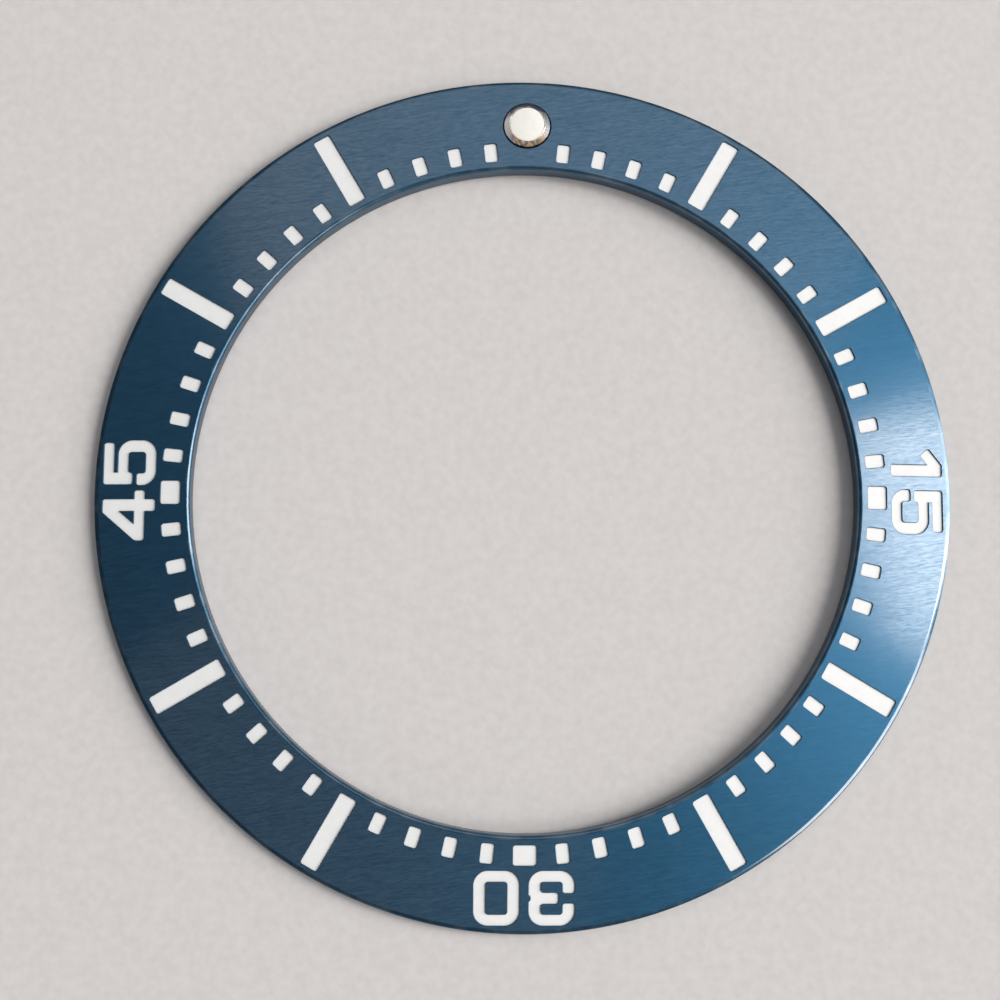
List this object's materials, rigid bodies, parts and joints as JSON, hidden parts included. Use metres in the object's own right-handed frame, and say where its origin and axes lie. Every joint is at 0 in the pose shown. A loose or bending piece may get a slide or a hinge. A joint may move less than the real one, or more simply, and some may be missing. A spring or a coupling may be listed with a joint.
{
  "type": "watch bezel insert",
  "caption": "Flat conical ring insert for a diver's watch bezel, with an engraved and white-filled minute scale, numerals and a metal-cupped luminous pearl at zero.",
  "frame": {"origin": "on the ring's axis, in the plane of its flat back", "axes": "+Z along the ring's axis, out of the face; +Y from the axis to the pearl at zero; +X to the numeral 15"},
  "size_m": [0.039, 0.039, 0.001],
  "materials": {
    "anodised_ring": "fine linear brushing under blue anodising",
    "white_fill": "cured white lacquer, level and slightly satin",
    "polished_cup": "turned and polished stainless steel",
    "lume": "moulded luminous compound, matt"
  },
  "bodies": {
    "root": {"insert_ring": "anodised_ring", "pearl_cup": "polished_cup", "pearl_lume": "lume", "minute_ticks_01_04": "white_fill", "minute_ticks_06_09": "white_fill", "minute_ticks_11_14": "white_fill", "minute_ticks_16_19": "white_fill", "minute_ticks_21_24": "white_fill", "minute_ticks_26_29": "white_fill", "minute_ticks_31_34": "white_fill", "minute_ticks_36_39": "white_fill", "minute_ticks_41_44": "white_fill", "minute_ticks_46_49": "white_fill", "minute_ticks_51_54": "white_fill", "minute_ticks_56_59": "white_fill", "quarter_block_15": "white_fill", "quarter_block_30": "white_fill", "quarter_block_45": "white_fill", "five_minute_bar_05": "white_fill", "five_minute_bar_10": "white_fill", "five_minute_bar_20": "white_fill", "five_minute_bar_25": "white_fill", "five_minute_bar_35": "white_fill", "five_minute_bar_40": "white_fill", "five_minute_bar_50": "white_fill", "five_minute_bar_55": "white_fill", "numeral_15_one": "white_fill", "numeral_15_five": "white_fill", "numeral_30_three": "white_fill", "numeral_30_zero": "white_fill", "numeral_45_four": "white_fill", "numeral_45_five": "white_fill"}
  },
  "joints": []
}
